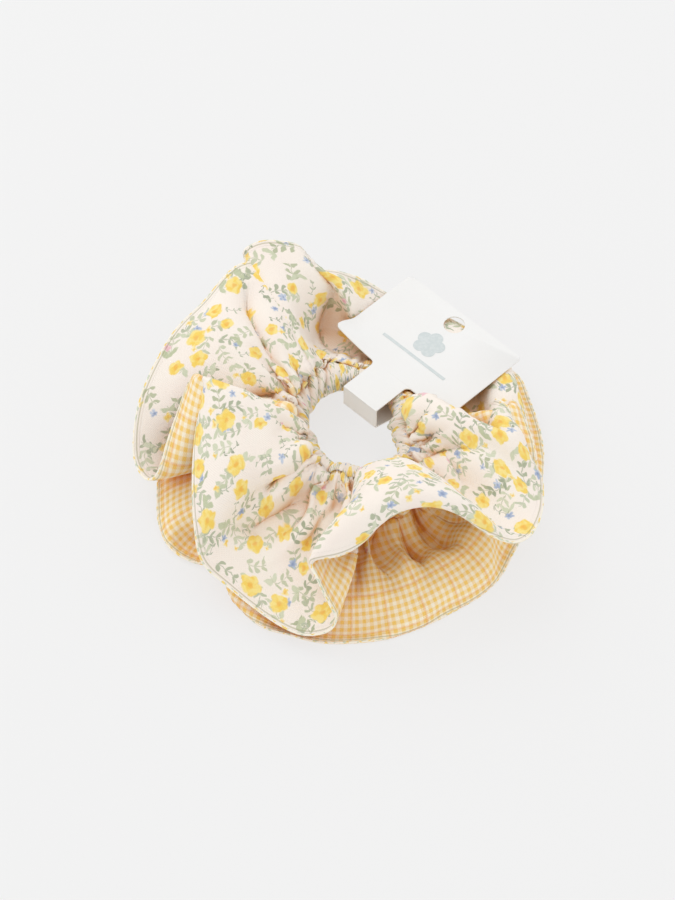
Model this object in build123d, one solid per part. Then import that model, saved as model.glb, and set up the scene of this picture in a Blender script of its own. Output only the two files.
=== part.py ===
from build123d import *
from math import asin, atan2, cos, degrees, hypot, radians, sin, tan
import os

# A hair scrunchie with its folded hang card round the band, as it lies on a table.
# Millimetres. +Z is up, +Y points from the hair hole out along the card, and the
# origin is on the table under the middle of the hole.
#
# Two strips of cloth, a printed one and a checked lining, are seamed along both long
# edges, turned and folded over an elastic loop. One row of stitches closes the casing
# round the elastic and leaves two double wings, an upper and a lower one. The elastic
# can stretch, so each soft ring is cut at y = 0 into a free side and a card side.

# Gathered band
band_radius = 22.0  # middle of the casing, the elastic at rest
casing_radius = 3.8  # outside of the casing tube
layer = 0.75  # one gathered layer of cloth
casing_wall = 0.6  # one layer drawn tight round the elastic
casing_flat = 3.45  # from the middle of the tube to the stitched flat behind it
stitch_width = 0.6

# Elastic
elastic_width = 4.2
elastic_thickness = 0.8
lap_angle = 24.0  # the two ends lie over each other along this arc
lap_stitches = 4
lap_stitch = (0.3, 0.5, 2.8)  # one bar of the zigzag

# Wings
rim_radius = 75.0
hem_width = 1.0
upper_rise = 28.0  # highest the upper wing stands above its root
lower_drop = 18.5  # furthest the lower wing hangs below its root
lowest_share = 0.85  # the lower wing rests on the table here, and curls up to its hem
ruffles = 7
shallow_upper = 0.45  # a hollow of the upper wing, as a share of its crests
shallow_lower = 0.5
radial_steps = 5
sectors = 16  # facets round one side
half_gap = 0.5  # degrees from y = 0 to each side's end
seam_angle = 1.0  # width of the seam that closes the ring

# Hang card
board = 0.5
card_x = -6.0  # middle of the card as it lies
neck_width = 16.0
panel_width = 55.0
spine_y = 9.8  # outer face of the spine
notch_y = 25.5  # where the neck opens into the panel
far_y = 63.5
card_slack = 0.35  # between the casing and either neck
corner_radius = 1.5
notch_radius = 2.0
hang_hole_radius = 3.85
hang_hole_margin = 5.8  # from its middle to the far edge
crease_gap = 0.1  # crushed board between two faces of a crease

# Print on the card
ink = 0.1
petals = 5
petal_radius = 2.6
petal_ring = 3.3
bar_size = (30.0, 1.2)
mark_y = 45.0
bar_y = 37.0

# Space the card needs under and over it
card_reach = 40.0  # the wings are pressed flat out to here on both sides of x = 0
card_start = 2.0  # and from here outwards
card_fade = 14.0  # over this length they rise to their free shape
flat_rise = 1.7
panel_clear = 0.5

root_radius = (band_radius + casing_flat) / cos(radians((90 - half_gap) / sectors))
wing_radius = root_radius + stitch_width
casing_height = 2 * layer + lower_drop
neck_reach = casing_radius + card_slack  # from the tube's middle to either neck
back_crease = casing_height - neck_reach
card_length = far_y - spine_y
# The back panel hangs from its crease until its far lower edge is on the table.
back_tilt = asin(back_crease / hypot(card_length, board)) - atan2(board, card_length)


def fade(value, start, end):
    """0 before start, 1 after end, smooth between."""
    share = min(max((value - start) / (end - start), 0.0), 1.0)
    return share * share * (3 - 2 * share)


def way_out(radius):
    """0 at the wing's root and inside it, 1 at its rim."""
    return max(radius - wing_radius, 0.0) / (rim_radius - wing_radius)


def card_share(x, y):
    """1 where the card presses the wings flat, 0 away from it."""
    across = 1 - fade(abs(x), card_reach, card_reach + card_fade)
    return across * fade(y, card_start, card_start + card_fade)


def wave(angle, shallow):
    """Ruffle height, from shallow in a hollow to 1 on a crest."""
    return shallow + (1 - shallow) * (1 + cos(ruffles * angle)) / 2


def upper_height(radius, angle):
    """Underside of the upper wing's lining above the table."""
    share = way_out(radius)
    free = upper_rise * share**1.2 * wave(angle, shallow_upper)
    pressed = flat_rise * share
    held = card_share(radius * cos(angle), radius * sin(angle))
    return casing_height + free * (1 - held) + pressed * held


def lower_height(radius, angle):
    """Top of the lower wing's lining above the table."""
    share = way_out(radius)
    down = min(share / lowest_share, 1.0) ** 0.9
    curl = 1.2 * max(share - lowest_share, 0.0) / (1 - lowest_share)
    free = lower_drop * down * wave(angle, shallow_lower) - curl
    y = radius * sin(angle)
    over_panel = neck_reach - 2 * layer + tan(back_tilt) * (y - spine_y) - panel_clear
    held = card_share(radius * cos(angle), y)
    return casing_height - free * (1 - held) - min(max(over_panel, 0.0), free) * held


def facet(*corners):
    return Face(Wire.make_polygon([Vector(*c) for c in corners], close=True))


def ruffled(height, low, high, radii, start, end, steps):
    """A closed sheet between height + low and height + high, in flat facets."""
    angles = [radians(start + (end - start) * k / steps) for k in range(steps + 1)]

    def corner(ring, place, offset):
        radius, angle = radii[ring], angles[place]
        return (radius * cos(angle), radius * sin(angle), height(radius, angle) + offset)

    faces = []
    for i in range(len(radii) - 1):
        for j in range(steps):
            for offset in (low, high):
                a, b = corner(i, j, offset), corner(i + 1, j, offset)
                c, d = corner(i + 1, j + 1, offset), corner(i, j + 1, offset)
                faces += [facet(a, b, c), facet(a, c, d)]
    for i in range(len(radii) - 1):
        for j in (0, steps):
            a, b = corner(i, j, low), corner(i + 1, j, low)
            faces.append(facet(a, b, corner(i + 1, j, high), corner(i, j, high)))
    for j in range(steps):
        for i in (0, len(radii) - 1):
            a, b = corner(i, j, low), corner(i, j + 1, low)
            faces.append(facet(a, b, corner(i, j + 1, high), corner(i, j, high)))
    return Solid(Shell(faces))


def level(radius, angle):
    return casing_height


def ring(profile, start, end):
    """Turn a profile in the XZ plane about Z from one angle to another, in degrees."""
    placed = Plane.XZ * Pos(band_radius, casing_height) * profile
    return Rot(0, 0, start) * revolve(placed, Axis.Z, revolution_arc=end - start)


def flat_backed(radius):
    """The casing's section, cut flat where the stitches pull it together."""
    behind = Pos(casing_flat + radius, 0) * Rectangle(2 * radius, 3 * radius)
    return Circle(radius) - behind


def lap():
    """The second end of the elastic, over the first on its outer side."""
    middle = Pos(elastic_thickness, 0) * Rectangle(elastic_thickness, elastic_width)
    return ring(middle, 270 - lap_angle / 2, 270 + lap_angle / 2)


def lap_stitching():
    thick, wide, tall = lap_stitch
    out = band_radius + 1.5 * elastic_thickness + thick / 2
    bars = []
    for k in range(lap_stitches):
        turn = 270 + lap_angle * ((k + 0.5) / lap_stitches - 0.5)
        bar = Pos(out, 0, casing_height) * Rot(25 * (-1) ** k, 0, 0) * Box(thick, wide, tall)
        bars.append(Rot(0, 0, turn) * bar)
    return Compound(bars)


def wing_radii(inner, outer):
    return [inner + (outer - inner) * k / radial_steps for k in range(radial_steps + 1)]


def blank():
    """One side of the card, from the crease at y = 0, as its neck and its panel."""
    depth = notch_y - spine_y
    neck = Pos(0, depth / 2) * Rectangle(neck_width, depth)
    height = far_y - notch_y
    panel = Pos(0, depth + height / 2) * Rectangle(panel_width, height)
    outline = neck + panel
    notch = [v for v in outline.vertices() if abs(abs(v.X) - neck_width / 2) < 0.01 and v.Y > 1]
    outline = fillet(notch, notch_radius)
    corners = [v for v in outline.vertices() if abs(abs(v.X) - panel_width / 2) < 0.01]
    outline = fillet(corners, corner_radius)
    hole = Pos(0, far_y - spine_y - hang_hole_margin) * Circle(hang_hole_radius)
    beside_neck = Pos(0, depth / 2) * Rectangle(panel_width, depth)
    return {"neck": outline & beside_neck, "panel": outline - beside_neck - hole}


def front(outline):
    bottom = casing_height + neck_reach
    return Pos(card_x, spine_y, bottom) * extrude(outline, board)


def back(outline):
    """The same blank, hinged down about the spine's lower edge."""
    plate = Pos(0, 0, -board) * extrude(outline, board)
    return Pos(card_x, spine_y, back_crease) * Rot(-degrees(back_tilt), 0, 0) * plate


def spine():
    height = 2 * neck_reach - 2 * crease_gap
    strip = Box(neck_width, board, height)
    return Pos(card_x, spine_y + board / 2, casing_height) * strip


def printed_mark():
    """A plain flower over a bar."""
    flower = Circle(petal_radius / 2)
    for k in range(petals):
        flower += Rot(0, 0, 360 * k / petals) * Pos(0, petal_ring) * Circle(petal_radius)
    bar = Rectangle(*bar_size)
    mark = Pos(card_x, mark_y) * flower + Pos(card_x, bar_y) * bar
    top = casing_height + neck_reach + board
    return Pos(0, 0, top) * extrude(mark, ink)


def save(name, shape):
    shape.label = name
    export_step(shape, f"parts/{name}.step")


os.makedirs("parts", exist_ok=True)

sides = {"free_side": (180 + half_gap, 360 - half_gap), "card_side": (half_gap, 180 - half_gap)}
radii = wing_radii(wing_radius, rim_radius - hem_width)
hem_radii = [rim_radius - hem_width, rim_radius]
stitch_radii = [root_radius, wing_radius]

for side, (start, end) in sides.items():
    closing = seam_angle if side == "free_side" else 0.0
    cloth = (start + closing, end, sectors)

    # The elastic and the casing round it
    elastic = ring(Rectangle(elastic_thickness, elastic_width), start, end)
    if side == "free_side":
        elastic = elastic + lap()
    save(f"elastic_{side}", elastic)
    inner = casing_radius - 2 * casing_wall
    lining = Circle(inner + casing_wall) - Circle(inner)
    save(f"checked_casing_lining_{side}", ring(lining, start, end))
    outer = flat_backed(casing_radius) - Circle(inner + casing_wall)
    save(f"printed_casing_{side}", ring(outer, start, end))
    stitches = ruffled(level, -2 * layer, 2 * layer, stitch_radii, *cloth)
    save(f"casing_stitching_{side}", stitches)

    # The wings: printed cloth outside, checked lining between, and a seamed hem
    save(f"printed_upper_wing_{side}", ruffled(upper_height, layer, 2 * layer, radii, *cloth))
    save(f"checked_upper_wing_{side}", ruffled(upper_height, 0, layer, radii, *cloth))
    save(f"checked_lower_wing_{side}", ruffled(lower_height, -layer, 0, radii, *cloth))
    save(f"printed_lower_wing_{side}", ruffled(lower_height, -2 * layer, -layer, radii, *cloth))
    save(f"upper_hem_{side}", ruffled(upper_height, 0, 2 * layer, hem_radii, *cloth))
    save(f"lower_hem_{side}", ruffled(lower_height, -2 * layer, 0, hem_radii, *cloth))

save("elastic_join_stitching", lap_stitching())

# The seam that joins the strips' short ends, through both wings
seam_start = 180 + half_gap
seam_span = (seam_start, seam_start + seam_angle, 1)
all_radii = [root_radius] + radii + [rim_radius]
upper_seam = ruffled(upper_height, 0, 2 * layer, all_radii, *seam_span)
lower_seam = ruffled(lower_height, -2 * layer, 0, all_radii, *seam_span)
save("ring_closing_seam", Compound([upper_seam, lower_seam]))

for part, outline in blank().items():
    save(f"card_front_{part}", front(outline))
    save(f"card_back_{part}", back(outline))
save("card_spine", spine())
save("card_printed_mark", printed_mark())
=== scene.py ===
import math

import bmesh
import bpy
import numpy as np
from mathutils import Matrix, Vector


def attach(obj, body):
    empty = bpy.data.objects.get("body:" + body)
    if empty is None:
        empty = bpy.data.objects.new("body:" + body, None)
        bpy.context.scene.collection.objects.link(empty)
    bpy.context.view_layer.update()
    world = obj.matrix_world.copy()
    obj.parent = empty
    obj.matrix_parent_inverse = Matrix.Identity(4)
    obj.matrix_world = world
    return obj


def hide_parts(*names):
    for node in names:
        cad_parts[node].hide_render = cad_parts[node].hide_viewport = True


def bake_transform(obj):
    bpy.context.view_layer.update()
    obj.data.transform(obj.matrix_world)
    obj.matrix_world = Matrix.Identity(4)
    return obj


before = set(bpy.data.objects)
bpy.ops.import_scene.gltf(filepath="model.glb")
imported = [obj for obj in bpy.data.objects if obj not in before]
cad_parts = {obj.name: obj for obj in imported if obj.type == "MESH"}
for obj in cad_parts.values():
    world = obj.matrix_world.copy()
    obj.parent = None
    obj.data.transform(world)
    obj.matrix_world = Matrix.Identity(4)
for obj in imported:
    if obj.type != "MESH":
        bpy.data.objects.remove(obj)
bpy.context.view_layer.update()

# A ruffled scrunchie on its folded hang card, lying on a table. Lengths are in
# millimetres until a mesh is made, and +Y points from the hair hole out along the card.
toMetres = 0.001
tiny = 1e-6
chance = np.random.default_rng(7)


def fade(value, start, end):
    share = np.clip((value - start) / (end - start), 0.0, 1.0)
    return share * share * (3 - 2 * share)


def smoothAlong(points, places, closed=True):
    points = np.asarray(points, float)
    count = len(points)
    low = np.floor(places).astype(int)
    part = (places - low).reshape((-1,) + (1,) * (points.ndim - 1))

    def at(step):
        index = low + step
        return points[index % count] if closed else points[np.clip(index, 0, count - 1)]

    before, here, there, after = at(-1), at(0), at(1), at(2)
    slopeHere, slopeThere = (there - before) / 2, (after - here) / 2
    square, cube = part**2, part**3
    return (
        here * (2 * cube - 3 * square + 1)
        + there * (3 * square - 2 * cube)
        + slopeHere * (cube - 2 * square + part)
        + slopeThere * (cube - square)
    )


def linear(code):
    parts = [int(code[k : k + 2], 16) / 255 for k in (1, 3, 5)]
    return tuple(c / 12.92 if c <= 0.04045 else ((c + 0.055) / 1.055) ** 2.4 for c in parts) + (1.0,)


def makePiece(name, points, faces, material, places=None, smooth=True):
    mesh = bpy.data.meshes.new(name)
    corners = faces.tolist() if isinstance(faces, np.ndarray) else faces
    mesh.from_pydata((np.asarray(points) * toMetres).tolist(), [], corners)
    if places is not None:
        layer = mesh.uv_layers.new(name="cloth")
        layer.data.foreach_set("uv", np.asarray(places, np.float32).ravel())
    mesh.polygons.foreach_set("use_smooth", [smooth] * len(mesh.polygons))
    mesh.materials.append(material)
    mesh.update()
    piece = bpy.data.objects.new(name, mesh)
    bpy.context.scene.collection.objects.link(piece)
    return piece


def unit(vectors):
    return vectors / np.maximum(np.linalg.norm(vectors, axis=-1, keepdims=True), 1e-9)


def normalsOf(grid):
    along = np.roll(grid, -1, 0) - np.roll(grid, 1, 0)
    across = np.gradient(grid, axis=1)
    normal = np.cross(along, across)
    return unit(normal)


view = {
    "azimuth": 45.0,
    "elevation": 52.0,
    "lens": 135.0,
    "frameWidth": 236.0,  # across the picture at the band
    "offRight": -5.1,
    "offUp": -6.3,
    "bandHeight": 20.0,
}
room = {
    "floor": "#757575",
    "floorGlow": 0.69,
    "skyStrength": 0.93,
    "keyPower": 2.2,
    "keySize": 0.9,
    "keyPlace": (-0.75, 0.05, 0.9),  # metres, and it points at keyAim
    "keyAim": (0.0, 0.0, 0.02),
    "floorHalf": 3000.0,
}


def setCamera():
    turn, lift = math.radians(view["azimuth"]), math.radians(view["elevation"])
    right = np.array([math.cos(turn), math.sin(turn), 0.0])
    away = np.array([-math.sin(turn), math.cos(turn), 0.0])
    forward = away * math.cos(lift) - np.array([0, 0, math.sin(lift)])
    up = np.cross(right, forward)
    target = np.array([0, 0, view["bandHeight"]]) + right * view["offRight"] + up * view["offUp"]
    camera = bpy.data.objects.new("camera", bpy.data.cameras.new("camera"))
    bpy.context.scene.collection.objects.link(camera)
    camera.data.lens = view["lens"]
    camera.data.clip_end = 20
    sensor = camera.data.sensor_width
    frameHeight = view["frameWidth"] * 900 / 675
    distance = frameHeight * view["lens"] / sensor
    axes = Matrix(np.array([right, up, -forward]).T.tolist()).to_4x4()
    axes.translation = ((target - forward * distance) * toMetres).tolist()
    camera.matrix_world = axes
    bpy.context.scene.camera = camera


def addNode(tree, kind, settings=None, inputs=()):
    new = tree.nodes.new("ShaderNode" + kind)
    for key, value in (settings or {}).items():
        setattr(new, key, value)
    for key, value in inputs.items() if isinstance(inputs, dict) else enumerate(inputs):
        if isinstance(value, bpy.types.Node):
            value = value.outputs[0]
        if isinstance(value, bpy.types.NodeSocket):
            tree.links.new(value, new.inputs[key])
        else:
            new.inputs[key].default_value = value
    return new


def newMaterial(name):
    material = bpy.data.materials.new(name)
    material.use_nodes = True
    tree = material.node_tree
    tree.nodes.clear()
    return material, tree


def finishMaterial(tree, settings):
    shader = addNode(tree, "BsdfPrincipled", {}, settings)
    addNode(tree, "OutputMaterial", {}, {"Surface": shader.outputs[0]})


def setRoom():
    world = bpy.data.worlds.new("studio")
    bpy.context.scene.world = world
    world.use_nodes = True
    world.node_tree.nodes["Background"].inputs["Color"].default_value = linear("#FFFFFF")
    world.node_tree.nodes["Background"].inputs["Strength"].default_value = room["skyStrength"]
    material, tree = newMaterial("palePaper")
    finishMaterial(tree, {"Base Color": linear(room["floor"]), "Roughness": 0.9,
                          "Emission Color": linear("#FFFFFF"), "Emission Strength": room["floorGlow"]})
    half = room["floorHalf"]
    corners = [(-half, -half, 0), (half, -half, 0), (half, half, 0), (-half, half, 0)]
    makePiece("floor", corners, [(0, 1, 2, 3)], material, smooth=False)
    lamp = bpy.data.lights.new("softbox", "AREA")
    lamp.energy = room["keyPower"]
    lamp.size = room["keySize"]
    softbox = bpy.data.objects.new("softbox", lamp)
    bpy.context.scene.collection.objects.link(softbox)
    place = Vector(room["keyPlace"])
    softbox.location = place
    softbox.rotation_euler = (Vector(room["keyAim"]) - place).to_track_quat("-Z", "Y").to_euler()
    bpy.context.scene.view_settings.view_transform = "Standard"


setCamera()
setRoom()
print("room and camera are set")

band = {
    "height": 20.0,
    # the ring's shape, as angle from +X and radius of the casing's middle
    "ring": [(0, 25), (25, 21.5), (50, 18.5), (90, 21.5), (130, 24),
             (160, 25.5), (200, 22.5), (245, 19), (285, 21), (320, 21.5)],
    "tube": 4.9,  # radius of the gathered casing
    "tubeAtCard": 3.75,  # and where the card's neck holds it
    "stitchOut": 3.4,  # from the middle of the casing to its stitches
    "cardAngle": 100.0,
    "cardHolds": (28.0, 48.0),  # degrees to each side: fully held, and free again
}
cloth = {
    "wing": 57.0,  # from the casing's stitches to the hem
    "strip": 520.0,  # length of the strips before gathering
    "layer": 0.3,
    "gap": 0.3,  # between the two layers
    "across": 50,  # points of the finest mesh
    "along": 600,
}
card = {
    "frontUnder": 24.15,
    "left": -33.5, "right": 21.5, "near": 25.5, "far": 63.5,
    "neckLeft": -14.0, "neckRight": 2.0, "spine": 9.8,
    "slide": 3.0,  # the card can move this far along the band
    "curl": 4.0, "curlFrom": (-13.0, 36.0),  # height, and where it starts along x and ends along y
    "curlPower": 1.6,
    "cut": 1.5,  # between the cuts that let the board bend
    "fillet": 2.1,  # the notch's rounding, with a little to spare
    "backCrease": 15.85, "backSlope": math.tan(math.radians(16.634)),
}

# Settings that many nodes share. A colour Mix takes its share at 0 and its colours at 6
# and 7, and gives its colour at 2. A MapRange takes the value, From Min and Max, To Min and Max.
times = {"operation": "MULTIPLY"}
plus = {"operation": "ADD"}
minus = {"operation": "SUBTRACT"}
timesPlus = {"operation": "MULTIPLY_ADD"}
absolute = {"operation": "ABSOLUTE"}
ofColour = {"data_type": "RGBA"}
inPlane = {"noise_dimensions": "2D"}
smoothStep = {"interpolation_type": "SMOOTHSTEP"}
multiplyColour = {"data_type": "RGBA", "blend_type": "MULTIPLY"}

cottonFace = {
    "thread": 0.8,  # real threads lie 0.25 mm apart, drawn coarser so that they show
    "threadHeight": 0.00004,
    "seamIn": 2.2,  # the turned-in edge ends this far inside the hem
    "seamWidth": 0.5,
    "seamHeight": 0.00012,
    "lineIn": 0.95,  # the row of stitches that holds the rolled edge
    "lineHalf": 0.42,
    # painted shade: the tone of the shaded groove along the stitches
    "grooveShadeTone": "#A9A680",
    "lineStrength": 0.62,
    # painted shade: how far and how deep the warm tint in folds reaches
    "paintedShadeReach": 0.016,  # metres
    "paintedShadeOpen": (0.65, 0.2),  # how open a crease is where the painted warm shade starts, and where it is full
    "roughness": 0.82,
    "sheen": 0.12,
}


def weave(tree, place):
    # threads over and under, and the step where the turned-in edge of the hem ends
    split = addNode(tree, "SeparateXYZ", {}, [place])
    threads = []
    for axis in (0, 1):
        turn = addNode(tree, "Math", times, [split.outputs[axis], 2 * math.pi / cottonFace["thread"]])
        threads.append(addNode(tree, "Math", {"operation": "SINE"}, [turn]))
    crossed = addNode(tree, "Math", times, threads)
    fromSeam = addNode(tree, "Math", minus, [split.outputs[1], cloth["wing"] - cottonFace["seamIn"]])
    fromSeam = addNode(tree, "Math", absolute, [fromSeam])
    groove = addNode(tree, "MapRange", smoothStep, [fromSeam, 0.0, cottonFace["seamWidth"]])
    woven = addNode(tree, "Bump", {}, {"Height": crossed, "Distance": cottonFace["threadHeight"]})
    return addNode(tree, "Bump", {}, {"Height": groove, "Distance": cottonFace["seamHeight"],
                                      "Normal": woven})


def paintedFoldShade(tree, colour, tint, strength):
    # painted shade: where ambient occlusion finds a deep fold, the colour is multiplied by a warm amber
    # tint, standing in for light that has passed through yellow cloth
    near = addNode(tree, "AmbientOcclusion", {"samples": 6}, {"Distance": cottonFace["paintedShadeReach"]})
    deep = addNode(tree, "MapRange", smoothStep,
                   [near.outputs["AO"], *cottonFace["paintedShadeOpen"], 0.0, strength])
    return addNode(tree, "Mix", multiplyColour, {0: deep, 6: colour, 7: linear(tint)}).outputs[2]


def paintedStitchGrooveShade(tree, place, colour):
    # painted shade: the groove along the stitches just inside the rolled edge, painted as one thin
    # grey-green line
    split = addNode(tree, "SeparateXYZ", {}, [place])
    apart = addNode(tree, "Math", minus, [split.outputs[1], cloth["wing"] - cottonFace["lineIn"]])
    apart = addNode(tree, "Math", absolute, [apart])
    limits = [apart, cottonFace["lineHalf"], 0.0, 0.0, cottonFace["lineStrength"]]
    line = addNode(tree, "MapRange", smoothStep, limits)
    return addNode(tree, "Mix", ofColour,
                   {0: line, 6: colour, 7: linear(cottonFace["grooveShadeTone"])}).outputs[2]


def finishCotton(tree, place, colour):
    # painted groove shade along the hem's stitches
    colour = paintedStitchGrooveShade(tree, place, colour)
    finishMaterial(tree, {"Base Color": colour, "Roughness": cottonFace["roughness"], "IOR": 1.5,
                          "Specular IOR Level": 0.3,
                          "Sheen Weight": cottonFace["sheen"], "Sheen Roughness": 0.5,
                          "Normal": weave(tree, place)})


gingham = {
    "check": 2.7,  # one dark and one light stripe
    "pane": 13.5,  # between the thin orange lines
    "soft": 0.45,  # how far a stripe fades into the next
    "light": "#FEF3DC",
    "dark": "#F9D073",
    "line": "#F0A04C",
    "lineEdge": (0.97, 0.992),
    "lineStrength": 0.32,
    "fleckScale": 0.35,  # one over the millimetres between uneven spots of dye
    # painted shade: the amber that deep folds of the gingham are tinted towards
    "paintedShadeTint": "#E2942F",
    "paintedShadeStrength": 0.85,
}


def checkedCotton():
    # yarn-dyed gingham: two sets of dyed threads cross, so the tone has three steps
    material, tree = newMaterial("yarnDyedGingham")
    place = addNode(tree, "UVMap", {"uv_map": "cloth"})
    split = addNode(tree, "SeparateXYZ", {}, [place])
    stripes, panes = [], []
    for axis in (0, 1):
        turn = addNode(tree, "Math", times, [split.outputs[axis], 2 * math.pi / gingham["check"]])
        wave = addNode(tree, "Math", {"operation": "SINE"}, [turn])
        stripes.append(addNode(tree, "MapRange", smoothStep, [wave, -gingham["soft"], gingham["soft"]]))
        turn = addNode(tree, "Math", times, [split.outputs[axis], 2 * math.pi / gingham["pane"]])
        wave = addNode(tree, "Math", {"operation": "COSINE"}, [turn])
        panes.append(addNode(tree, "MapRange", smoothStep, [wave, *gingham["lineEdge"]]))
    both = addNode(tree, "Math", plus, stripes)
    share = addNode(tree, "Math", times, [both, 0.5])
    colour = addNode(tree, "Mix", ofColour, {0: share, 6: linear(gingham["light"]),
                                             7: linear(gingham["dark"])})
    pane = addNode(tree, "Math", {"operation": "MAXIMUM"}, panes)
    fleck = addNode(tree, "TexNoise", inPlane,
                    {"Vector": place, "Scale": gingham["fleckScale"], "Detail": 2.0})
    pane = addNode(tree, "Math", times, [pane, fleck])
    pane = addNode(tree, "Math", times, [pane, 2 * gingham["lineStrength"]])
    colour = addNode(tree, "Mix", ofColour, {0: pane, 6: colour.outputs[2], 7: linear(gingham["line"])})
    # painted warm shade in the deep folds of the gingham
    colour = paintedFoldShade(tree, colour.outputs[2], gingham["paintedShadeTint"], gingham["paintedShadeStrength"])
    finishCotton(tree, place, colour)
    return material


floral = {
    "ground": "#FCF5EA",
    "blush": "#FAEDE4",
    "edge": 0.35,  # softness of a printed edge
    # painted shade: the amber that deep folds of the printed cotton are tinted towards
    "paintedShadeTint": "#E4A850",
    "paintedShadeStrength": 0.8,
    "bleed": 1.6,  # how far the ink runs off its edge
    "bleedScale": 0.4,
    "washScale": 0.45,
    "cloudScale": 0.06,
    "lean": 0.7,  # radians that a leaf slants from its stem
    "sprays": [
        {"apart": 9.5, "scatter": 0.55, "share": 0.66, "long": 3.3, "leaf": (1.35, 0.58), "step": 2.5,
         "leafOut": 1.15, "stem": 0.1, "bend": 0.05,
         "light": "#D9DCC2", "deep": "#B7BC9C", "shift": (3, 5, 0)},
        {"apart": 12.0, "scatter": 0.6, "share": 0.55, "long": 4.0, "leaf": (1.2, 0.55), "step": 2.6,
         "leafOut": 0.95, "stem": 0.09, "bend": -0.07,
         "light": "#CDD2B8", "deep": "#A9B096", "shift": (40, 11, 0)},
        {"apart": 8.0, "scatter": 0.85, "share": 0.5, "long": 1.3, "leaf": (1.7, 0.85), "step": 9.0,
         "leafOut": 1.2, "stem": 0.1, "bend": 0.0,
         "light": "#DDE0C8", "deep": "#C4CAA8", "shift": (17, 29, 0)},
        {"apart": 11.0, "scatter": 0.9, "share": 0.45, "long": 2.8, "leaf": (0.6, 0.3), "step": 2.4,
         "leafOut": 0.6, "stem": 0.1, "bend": 0.16,
         "light": "#C2C8B0", "deep": "#A3AA94", "shift": (71, 37, 0)},
    ],
    "blossoms": [
        {"apart": 9.5, "scatter": 0.85, "share": 0.5, "radius": 1.5, "petals": 4, "cut": 0.35,
         "light": "#FDEBA8", "deep": "#FADB7C", "heart": "#F5BD5C", "shift": (7, 3, 0)},
        {"apart": 14.0, "scatter": 0.85, "share": 0.8, "radius": 1.7, "petals": 5, "cut": 0.4,
         "light": "#CAD3E2", "deep": "#ABB9D3", "heart": "#8A99BB", "shift": (51, 23, 0)},
        {"apart": 12.0, "scatter": 0.75, "share": 0.8, "radius": 3.3, "petals": 5, "cut": 0.16,
         "light": "#FDE793", "deep": "#FAD76A", "heart": "#F5B650", "shift": (0, 0, 0)},
        {"apart": 34.0, "scatter": 0.9, "share": 0.7, "radius": 1.7, "petals": 5, "cut": 0.35,
         "light": "#F6D3D6", "deep": "#EFC0C8", "heart": "#E4A0AC", "shift": (13, 61, 0)},
    ],
}


def scatter(tree, place, kind):
    # one motif in each cell, with its own turn, size and chance of being there
    moved = addNode(tree, "VectorMath", plus, [place, kind["shift"]])
    cell = addNode(tree, "TexVoronoi", {"voronoi_dimensions": "2D"},
                   {"Vector": moved, "Scale": 1 / kind["apart"], "Randomness": kind["scatter"]})
    local = addNode(tree, "VectorMath", minus, [moved, cell.outputs["Position"]])
    pick = addNode(tree, "SeparateColor", {}, [cell.outputs["Color"]])
    spin = addNode(tree, "Math", times, [pick.outputs[0], 2 * math.pi])
    turned = addNode(tree, "VectorRotate", {"rotation_type": "Z_AXIS"}, {"Vector": local, "Angle": spin})
    there = addNode(tree, "Math", {"operation": "LESS_THAN"}, [pick.outputs[1], kind["share"]])
    return turned, pick, there


def blossom(tree, place, base, kind):
    turned, pick, there = scatter(tree, place, kind)
    axes = addNode(tree, "SeparateXYZ", {}, [turned])
    angle = addNode(tree, "Math", {"operation": "ARCTAN2"}, [axes.outputs[1], axes.outputs[0]])
    lobes = addNode(tree, "Math", times, [angle, kind["petals"] / 2])
    lobes = addNode(tree, "Math", {"operation": "COSINE"}, [lobes])
    lobes = addNode(tree, "Math", absolute, [lobes])
    size = addNode(tree, "MapRange", {}, {"Value": pick.outputs[2], "To Min": 0.75 * kind["radius"],
                                          "To Max": 1.15 * kind["radius"]})
    shape = addNode(tree, "Math", timesPlus, [lobes, kind["cut"], 1 - kind["cut"]])
    reach = addNode(tree, "Math", times, [shape, size])
    far = addNode(tree, "VectorMath", {"operation": "LENGTH"}, [turned]).outputs["Value"]
    inside = addNode(tree, "Math", minus, [reach, far])
    mask = addNode(tree, "MapRange", smoothStep, [inside, 0.0, floral["edge"] * 2])
    mask = addNode(tree, "Math", times, [mask, there])
    wash = addNode(tree, "TexNoise", inPlane,
                   {"Vector": place, "Scale": floral["washScale"], "Detail": 1.0})
    wash = addNode(tree, "MapRange", smoothStep, [wash, 0.36, 0.64])
    petal = addNode(tree, "Mix", ofColour, {0: wash, 6: linear(kind["light"]), 7: linear(kind["deep"])})
    heart = addNode(tree, "MapRange", smoothStep,
                    [far, kind["radius"] * 0.36, kind["radius"] * 0.1, 0.0, 0.7])
    petal = addNode(tree, "Mix", ofColour, {0: heart, 6: petal.outputs[2], 7: linear(kind["heart"])})
    return addNode(tree, "Mix", ofColour, {0: mask, 6: base, 7: petal.outputs[2]}).outputs[2]


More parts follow.
